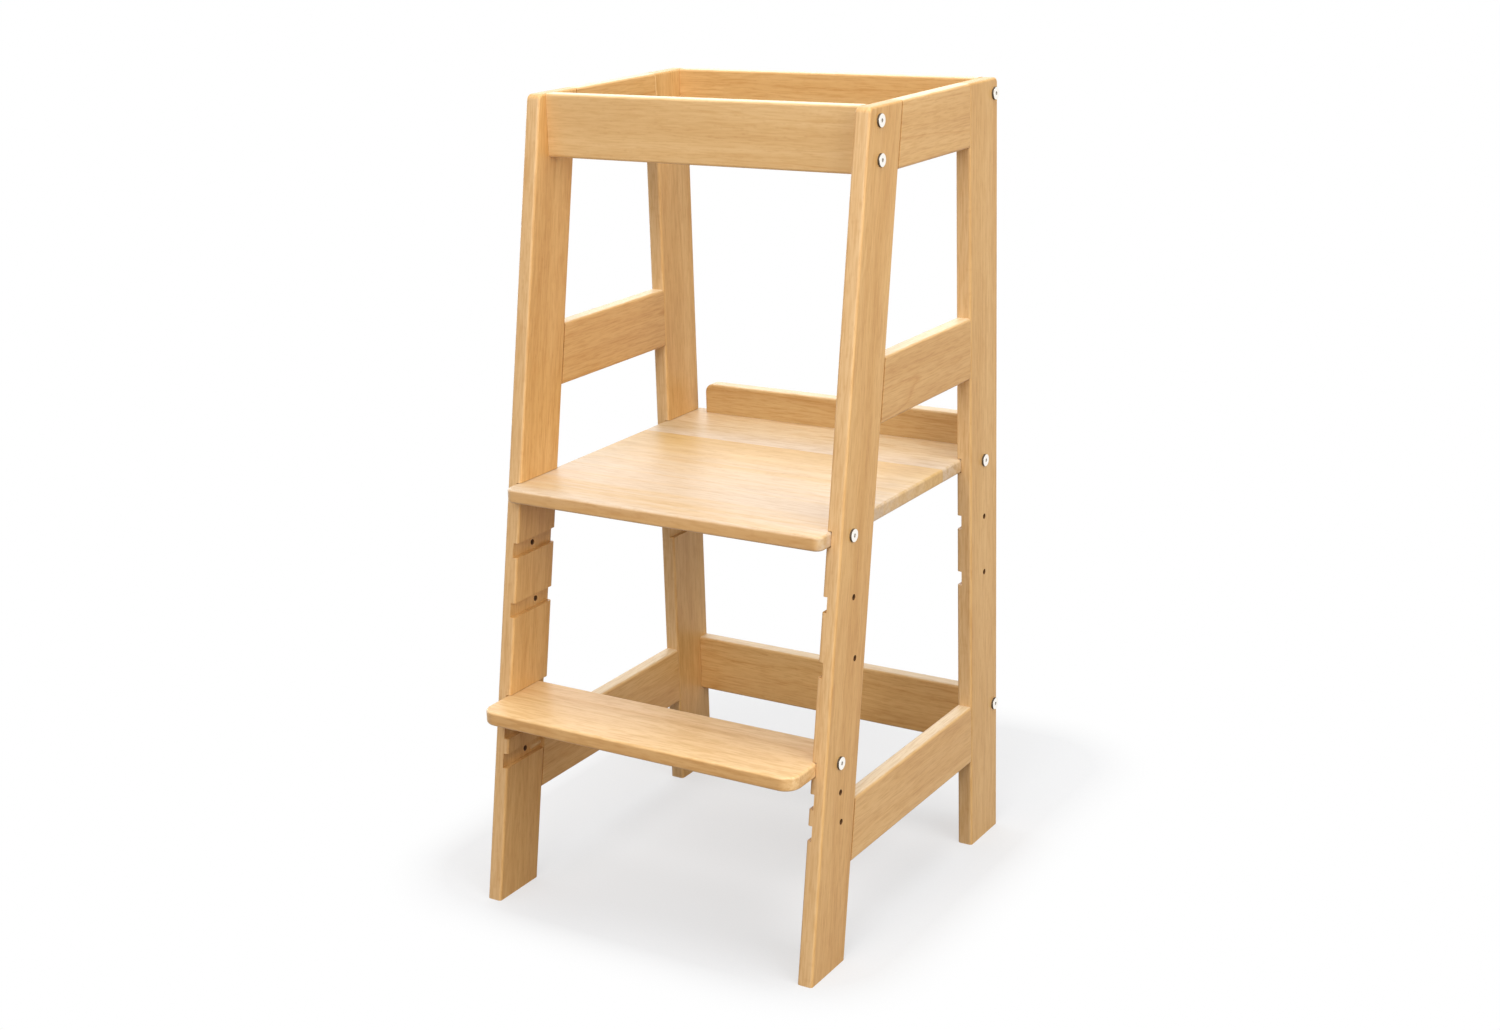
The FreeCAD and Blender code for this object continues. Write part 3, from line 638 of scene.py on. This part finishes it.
def front_leg(name, side, wood):
    near, far = sorted((side * inner_face, side * outer_face))
    piece = block(name, Vector((near, floor_front, 0)),
                  Vector((far, floor_front + leg_run, stool_top)), wood)
    move_points(piece, (0, slope * stool_top, 0), lambda point: point.co.z > stool_top - NEAR)
    round_edges(piece, TOP_CORNER, TOP_FLATS,
                lambda e: top_edge(e) and middle(e).y < leg_front(stool_top) + NEAR)
    round_edges(piece, EDGE_ROUND, EDGE_FLATS, leg_edge)
    tools = groove_tools(side, platform_underside, PLATFORM_PITCH, wood)
    tools += groove_tools(side, step_underside, STEP_PITCH, wood)
    spots = column_of_holes(front_column, platform_bolt_height, PLATFORM_PITCH)
    spots += column_of_holes(step_column, step_bolt_height, STEP_PITCH)
    carve(piece, tools + hole_tools(side, spots + rail_bolts[:2]))
    ease(piece)
    return piece


def rear_leg(name, side, wood):
    near, far = sorted((side * inner_face, side * outer_face))
    piece = block(name, Vector((near, rear_leg_low.y, 0)),
                  Vector((far, rear_leg_high.y, stool_top)), wood)
    round_edges(piece, TOP_CORNER, TOP_FLATS,
                lambda e: top_edge(e) and middle(e).y > rear_leg_high.y - NEAR)
    round_edges(piece, EDGE_ROUND, EDGE_FLATS, leg_edge)
    tools = groove_tools(side, platform_underside, PLATFORM_PITCH, wood)
    spots = column_of_holes(rear_column, platform_bolt_height, PLATFORM_PITCH)
    carve(piece, tools + hole_tools(side, spots + rail_bolts[2:]))
    ease(piece)
    return piece


def side_rail(name, node, wood):
    """A rail between the legs of a side frame, its front end cut to the front leg's lean."""
    low, high = corners(node)
    low_end = Vector((low.x, leg_rear(low.z), low.z))
    piece = block(name, low_end, high, wood)
    shift = leg_rear(high.z) - leg_rear(low.z)
    move_points(piece, (0, shift, 0),
                lambda point: point.co.z > high.z - NEAR and point.co.y < low_end.y + NEAR)
    round_edges(piece, EDGE_ROUND, EDGE_FLATS, lambda e: runs_along(e, Y))
    ease(piece)
    return piece


def cross_rail(name, node, bolt_heights, wood):
    """A rail across the stool, with the bores of its barrel nuts in the back face."""
    low, high = corners(node)
    piece = block(name, low, high, wood)
    round_edges(piece, EDGE_ROUND, EDGE_FLATS, lambda e: runs_along(e, X))
    bore_middle = high.y - (RAIL_NUT_DEPTH - OVERSHOOT) / 2
    carve(piece, [rod("nut_room", Vector((side * nut_column, bore_middle, up)), Y, NUT_HOLE,
                      RAIL_NUT_DEPTH + OVERSHOOT, bore_wood_with_shade)
                  for side in SIDES.values() for up in bolt_heights])
    ease(piece)
    return piece


def flat_board(name, node, columns, front_corner, rear_corner, wood):
    """A board of the platform or the step, with bores for its bolts and barrel nuts.

    A corner radius of None marks the side where another board is glued on."""
    low, high = corners(node)
    piece = block(name, low, high, wood)
    seams = []
    for line, radius in ((low.y, front_corner), (high.y, rear_corner)):
        if radius:
            round_edges(piece, radius, PLAN_FLATS,
                        lambda e: runs_along(e, Z) and abs(middle(e).y - line) < NEAR)
        else:
            seams.append(line)
    round_edges(piece, EDGE_ROUND, EDGE_FLATS,
                lambda e: is_corner(e) and not runs_along(e, Z)
                and all(abs(middle(e).y - seam) > NEAR for seam in seams))
    height = (low.z + high.z) / 2
    bore = BOLT_REACH + OVERSHOOT
    bore_middle = outer_face - BOLT_REACH + bore / 2
    nut_middle = low.z + (BOARD_NUT_DEPTH - OVERSHOOT) / 2
    tools = []
    for side in SIDES.values():
        for column in columns:
            tools.append(rod("bolt_room", Vector((side * bore_middle, column, height)), X,
                             BOLT_HOLE, bore, bore_wood_with_shade))
            tools.append(rod("nut_room", Vector((side * nut_column, column, nut_middle)), Z,
                             NUT_HOLE, BOARD_NUT_DEPTH + OVERSHOOT, bore_wood_with_shade))
    carve(piece, tools)
    ease(piece)
    return piece


def back_lip(name, node, wood):
    """The upright board along the platform's back edge."""
    low, high = corners(node)
    piece = block(name, low, high, wood)
    round_edges(piece, LIP_CORNER, LIP_FLATS,
                lambda e: runs_along(e, Y) and middle(e).z > high.z - NEAR)
    round_edges(piece, EDGE_ROUND, EDGE_FLATS,
                lambda e: is_corner(e) and not runs_along(e, Y) and middle(e).z > low.z + NEAR)
    ease(piece)
    return piece


# Light and deep tone of each kind of board.
LEG_TONES = ("#D6AA6C", "#C99A5A")
REAR_LEG_TONES = ("#D9B074", "#CDA163")
RAIL_TONES = ("#D6AC70", "#C99C60")
FRONT_RAIL_TONES = ("#D8B27C", "#CBA26B")
LIP_TONES = ("#C09C67", "#B48D59")
# The platform and the step are paler than the frame. Part of that is painted sheen for their tops,
# and the rear board is also a paler piece of wood.
PLATFORM_TONES = ("#D5B278", "#CBA66B")
PALE_PLATFORM_TONES = ("#D3B993", "#C9AE86")
STEP_TONES = ("#E3BF8A", "#D8AD78")
DOWEL_TONES = ("#D8B784", "#C9A470")

# Platform and step are seen at a flat angle, where only a wider fibre shows.
PLATFORM_COARSE = 2.2
STEP_COARSE = 1.6

# Each board has its own place in a log. In the calls and tables below that is its distance from the
# pith in millimetres, its fibre's turn in degrees and its place along the log in metres.
LOG_PLACE = {"right": 0.37, "left": 1.91}
REAR_LEG_FARTHER = 0.7
SIDE_RAILS = {
    "top": ((30, 26), 1.1, 0.0),
    "middle": ((39, 5), 0.1, 0.41),
    "lower": ((48, -16), -0.9, 0.82),
}
for side_name, side in SIDES.items():
    start = LOG_PLACE[side_name]
    node = f"{side_name}_front_leg"
    wood = beech(node, "leaning", (62 * side, 150), LEG_TONES, log=start, edge=LEG_EDGE)
    settle_in(front_leg(f"{node}_board", side, wood), "stool", node)
    node = f"{side_name}_rear_leg"
    wood = beech(node, "Z", (-48 * side, 170), REAR_LEG_TONES, log=start + REAR_LEG_FARTHER,
                 edge=LEG_EDGE)
    settle_in(rear_leg(f"{node}_board", side, wood), "stool", node)
    for rail_name, ((through, over), turn, farther) in SIDE_RAILS.items():
        node = f"{side_name}_{rail_name}_side_rail"
        wood = beech(node, "Y", (through, over * side), RAIL_TONES, turn=turn,
                     log=start + farther, figure=1.3, edge=RAIL_EDGE_AND_SHEEN)
        settle_in(side_rail(f"{node}_board", node, wood), "stool", node)

# Their bolts, then pith, tones, turn, place along the log and figure.
CROSS_RAILS = {
    "front_top_rail": (rail_bolts[:2], (96, 58), FRONT_RAIL_TONES, 0.8, 0.90, 0.7),
    "rear_top_rail": (rail_bolts[2:3], (83, 41), RAIL_TONES, 0.1, 1.43, 0.9),
    "rear_lower_rail": (rail_bolts[3:], (70, 24), RAIL_TONES, -0.6, 1.96, 1.1),
}
for node, (bolts, pith, tones, turn, log, figure) in CROSS_RAILS.items():
    wood = beech(node, "X", pith, tones, turn=turn, log=log, figure=figure, edge=RAIL_EDGE_AND_SHEEN)
    settle_in(cross_rail(f"{node}_board", node, [up for _, up in bolts], wood), "stool", node)

# Both platform boards carry painted sheen: a paler tone painted towards the front of each.
node = "platform_front_board"
wood = beech(node, "X", (98, -64), PLATFORM_TONES, turn=0.6, log=0.2, figure=0.7, painted_sheen=(139, -30),
             edge=TOP_EDGE, coarse=PLATFORM_COARSE)
settle_in(flat_board("platform_front_stave", node, [front_column], PLATFORM_CORNER, None, wood),
          "platform", node)
node = "platform_rear_board"
wood = beech(node, "X", (-38, -90), PALE_PLATFORM_TONES, turn=-0.5, log=1.3, painted_sheen=(-10, -52),
             edge=TOP_EDGE, coarse=PLATFORM_COARSE)
settle_in(flat_board("platform_rear_stave", node, [rear_column], None, PLATFORM_REAR_CORNER, wood),
          "platform", node)
node = "platform_back_lip"
wood = beech(node, "X", (60, 35), LIP_TONES, turn=0.5, log=2.2, edge=RAIL_EDGE_AND_SHEEN)
settle_in(back_lip("platform_back_board", node, wood), "platform", node)
node = "step_board"
wood = beech(node, "X", (34, -60), STEP_TONES, turn=-0.7, log=1.63, edge=TOP_EDGE,
             coarse=STEP_COARSE)
settle_in(flat_board("step_tread", node, [step_column], STEP_CORNER, STEP_REAR_CORNER, wood),
          "step", node)


# ---------------------------------------------------------------- fastenings

def make_bolt(name):
    """One connector bolt along X, its head's underside at the origin and its head towards +X."""
    head = rod(name, Vector((HEAD_THICK / 2, 0, 0)), X, HEAD_RADIUS, HEAD_THICK, bolt_metal,
               sides=HEAD_SIDES)
    # The head's side takes the metal that is painted dark for shade.
    head.data.materials.append(head_side_shade_metal)
    for face in head.data.polygons:
        face.material_index = 0 if face.normal.x > 0.5 else 1
    round_edges(head, HEAD_ROUND, EDGE_FLATS,
                lambda e: is_corner(e) and middle(e).x > HEAD_THICK - NEAR)
    # The socket's walls take the metal that is painted grey for the shade inside it.
    carve(head, [rod("socket_room", Vector((HEAD_THICK, 0, 0)), X, SOCKET_FLAT / math.sqrt(3),
                     2 * SOCKET_DEPTH, socket_shade_metal, sides=6)])
    ease(head, HEAD_ARRIS)
    shank = rod("bolt_shank", Vector((-SHANK_LENGTH / 2, 0, 0)), X, SHANK_RADIUS, SHANK_LENGTH,
                shank_metal)
    round_edges(shank, TIP_BEVEL, 1, lambda e: is_corner(e) and middle(e).x < -SHANK_LENGTH + NEAR)
    ease(shank, TIP_ARRIS)
    return join([head, shank])


def bolt_set(name, side, spots, body, node):
    """Copies of the bolt at their places on one side, as one piece."""
    copies = []
    for back, up in spots:
        copy = bolt_master.copy()
        copy.data = bolt_master.data.copy()
        bpy.context.collection.objects.link(copy)
        copy.location = (side * outer_face, back, up)
        copy.rotation_euler = (0, 0, 0 if side > 0 else math.pi)
        settle(copy)
        copies.append(copy)
    piece = join(copies)
    piece.name = name
    settle_in(piece, body, node)


bolt_master = make_bolt("connector_bolt")
platform_bolts = [(front_column, platform_bolt_height), (rear_column, platform_bolt_height)]
for side_name, side in SIDES.items():
    bolt_set(f"{side_name}_rail_bolt_set", side, rail_bolts, "stool", f"{side_name}_rail_bolts")
    bolt_set(f"{side_name}_platform_bolt_set", side, platform_bolts,
             f"platform_bolts_{side_name}", f"{side_name}_platform_bolts")
    bolt_set(f"{side_name}_step_bolt_single", side, [(step_column, step_bolt_height)],
             f"step_bolt_{side_name}", f"{side_name}_step_bolt")
bpy.data.objects.remove(bolt_master, do_unlink=True)


def finish_node(node, material):
    """Give one of the frame's own shapes a finished material."""
    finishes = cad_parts[node].data.materials
    finishes.clear()
    finishes.append(material)


# Barrel nuts and dowels keep the frame's own shapes.
for node in ("front_rail_barrel_nuts", "rear_rail_barrel_nuts", "platform_barrel_nuts",
             "step_barrel_nuts"):
    finish_node(node, nut_metal)
for node, grain in (("right_frame_dowels", "Y"), ("left_frame_dowels", "Y"),
                    ("right_rail_dowels", "X"), ("left_rail_dowels", "X"), ("lip_dowels", "Z")):
    finish_node(node, beech(node, grain, (20, 12), DOWEL_TONES, rough=DOWEL_ROUGH))


# ---------------------------------------------------------------- studio

WHITE = (1, 1, 1, 1)

# The paper as the camera sees it, its tooth drawn 2.5 mm coarse, and what the stool gets back from
# it, which is dimmer and warmer so that the undersides stay brown.
FLOOR_SIZE = 16
PAPER_TONES = ("#CCCDCF", "#D0D1D3")
PAPER_TOOTH = 400.0
BOUNCE_TONE = "#705A3C"

# The stool's shadow shows on this much of the paper, in metres, and the white lifts it by half.
SHADOW_MIDDLE = (-0.03, 0.13, 0)
SHADOW_HALF = (0.19, 0.27, 1)
SHADOW_EDGE = 0.18
SHADOW_LIFT = 0.57

# Soft square lamps: name, place, where they look, width in metres and power in watts.
ROOM_LEVEL = 0.20
LAMPS = (
    ("overhead_light", (0.0, 0.0, 3.2), (0, 0, 0.4), 2.4, 66),
    ("front_light", (0.5, -3.1, 2.1), (0, 0, 0.5), 1.8, 76),
    ("right_light", (3.1, -0.7, 1.8), (0, 0, 0.5), 2.8, 92),
    ("back_light", (-1.9, 3.1, 2.3), (0, 0, 0.5), 2.8, 32),
    ("left_light", (-3.3, 0.9, 1.0), (0, 0, 0.5), 2.0, 46),
)

# The photograph's viewpoint, to the right and looking slightly down, in metres and degrees; lens
# and sensor are in millimetres, and the shifts are shares of the picture's width.
CAMERA_PLACE = (1.24757, -1.98269, 1.15465)
CAMERA_YAW, CAMERA_PITCH, CAMERA_ROLL = 32.34, -15.40, -1.85
CAMERA_LENS, CAMERA_SENSOR = 52.07, 36
CAMERA_SHIFT = (0.0131, -0.0470)


def seen_directly(tree):
    """One for what the camera, gloss or glass sees, and one for what the camera alone sees."""
    path = add(tree, "ShaderNodeLightPath")
    camera = path.outputs["Is Camera Ray"]
    direct = add(tree, MATHS, LARGER, camera, path.outputs["Is Glossy Ray"])
    return add(tree, MATHS, LARGER, direct, path.outputs["Is Transmission Ray"]), camera


def studio_floor():
    """Matt white paper that keeps the stool's soft shadow and turns plain white around it."""
    bpy.ops.object.select_all(action="DESELECT")
    bpy.ops.mesh.primitive_plane_add(size=FLOOR_SIZE, location=(0, 0, 0))
    floor = bpy.context.active_object
    floor.name = "studio_floor"
    material, tree = new_material("matt_white_paper")
    place = add(tree, "ShaderNodeTexCoord").outputs["Object"]
    aside = add(tree, VECTOR, UNSIGNED, add(tree, VECTOR, LESS, place, SHADOW_MIDDLE))
    beyond = add(tree, VECTOR, LARGER, add(tree, VECTOR, LESS, aside, SHADOW_HALF), (0, 0, 0))
    distance = add(tree, VECTOR, {"operation": "LENGTH"}, beyond).outputs["Value"]
    fade = add(tree, SPREAD, SOFTLY, distance, 0.0, SHADOW_EDGE)
    tooth = add(tree, NOISE, None, place, Scale=PAPER_TOOTH, Detail=2.0)
    paper = add(tree, RAMP, None, tooth,
                stops=list(zip(SPECK_TURNS, (linear(tone) for tone in PAPER_TONES))))
    seen, camera = seen_directly(tree)
    matt = add(tree, "ShaderNodeBsdfDiffuse", None,
               add(tree, MIX, BLEND, seen, linear(BOUNCE_TONE), paper))
    glow = add(tree, "ShaderNodeEmission", None, WHITE, 1.0)
    share = add(tree, MATHS, LARGER, add(tree, MATHS, TIMES, fade, seen),
                add(tree, MATHS, TIMES, camera, SHADOW_LIFT))
    add(tree, "ShaderNodeOutputMaterial", None,
        add(tree, "ShaderNodeMixShader", None, share, matt, glow))
    floor.data.materials.append(material)


def room_light():
    """Even white light from all round; the camera, gloss and glass see plain white."""
    world = bpy.data.worlds.new("white_room")
    bpy.context.scene.world = world
    world.use_nodes = True
    tree = world.node_tree
    tree.nodes.clear()
    dim = add(tree, "ShaderNodeBackground", None, WHITE, ROOM_LEVEL)
    white = add(tree, "ShaderNodeBackground", None, WHITE, 1.0)
    add(tree, "ShaderNodeOutputWorld", None,
        add(tree, "ShaderNodeMixShader", None, seen_directly(tree)[0], dim, white))


def lamp(name, place, aim, size, power):
    light = bpy.data.lights.new(name, "AREA")
    light.shape = "SQUARE"
    light.size = size
    light.energy = power
    item = bpy.data.objects.new(name, light)
    bpy.context.collection.objects.link(item)
    item.location = place
    item.rotation_euler = (Vector(aim) - Vector(place)).to_track_quat("-Z", "Y").to_euler()


def photo_camera():
    yaw, pitch, roll = (math.radians(turn) for turn in (CAMERA_YAW, CAMERA_PITCH, CAMERA_ROLL))
    ahead = Vector((-math.sin(yaw) * math.cos(pitch), math.cos(yaw) * math.cos(pitch),
                    math.sin(pitch)))
    level = Vector((math.cos(yaw), math.sin(yaw), 0))
    above = level.cross(ahead)
    right = level * math.cos(roll) + above * math.sin(roll)
    up = above * math.cos(roll) - level * math.sin(roll)
    camera = bpy.data.cameras.new("photo_camera")
    camera.sensor_fit = "HORIZONTAL"
    camera.sensor_width = CAMERA_SENSOR
    camera.lens = CAMERA_LENS
    camera.shift_x, camera.shift_y = CAMERA_SHIFT
    item = bpy.data.objects.new("photo_camera", camera)
    bpy.context.collection.objects.link(item)
    turn = Matrix((right, up, -ahead)).transposed()
    item.matrix_world = Matrix.Translation(CAMERA_PLACE) @ turn.to_4x4()
    bpy.context.scene.camera = item


studio_floor()
room_light()
for setting in LAMPS:
    lamp(*setting)
photo_camera()
bpy.context.scene.view_settings.view_transform = "Standard"
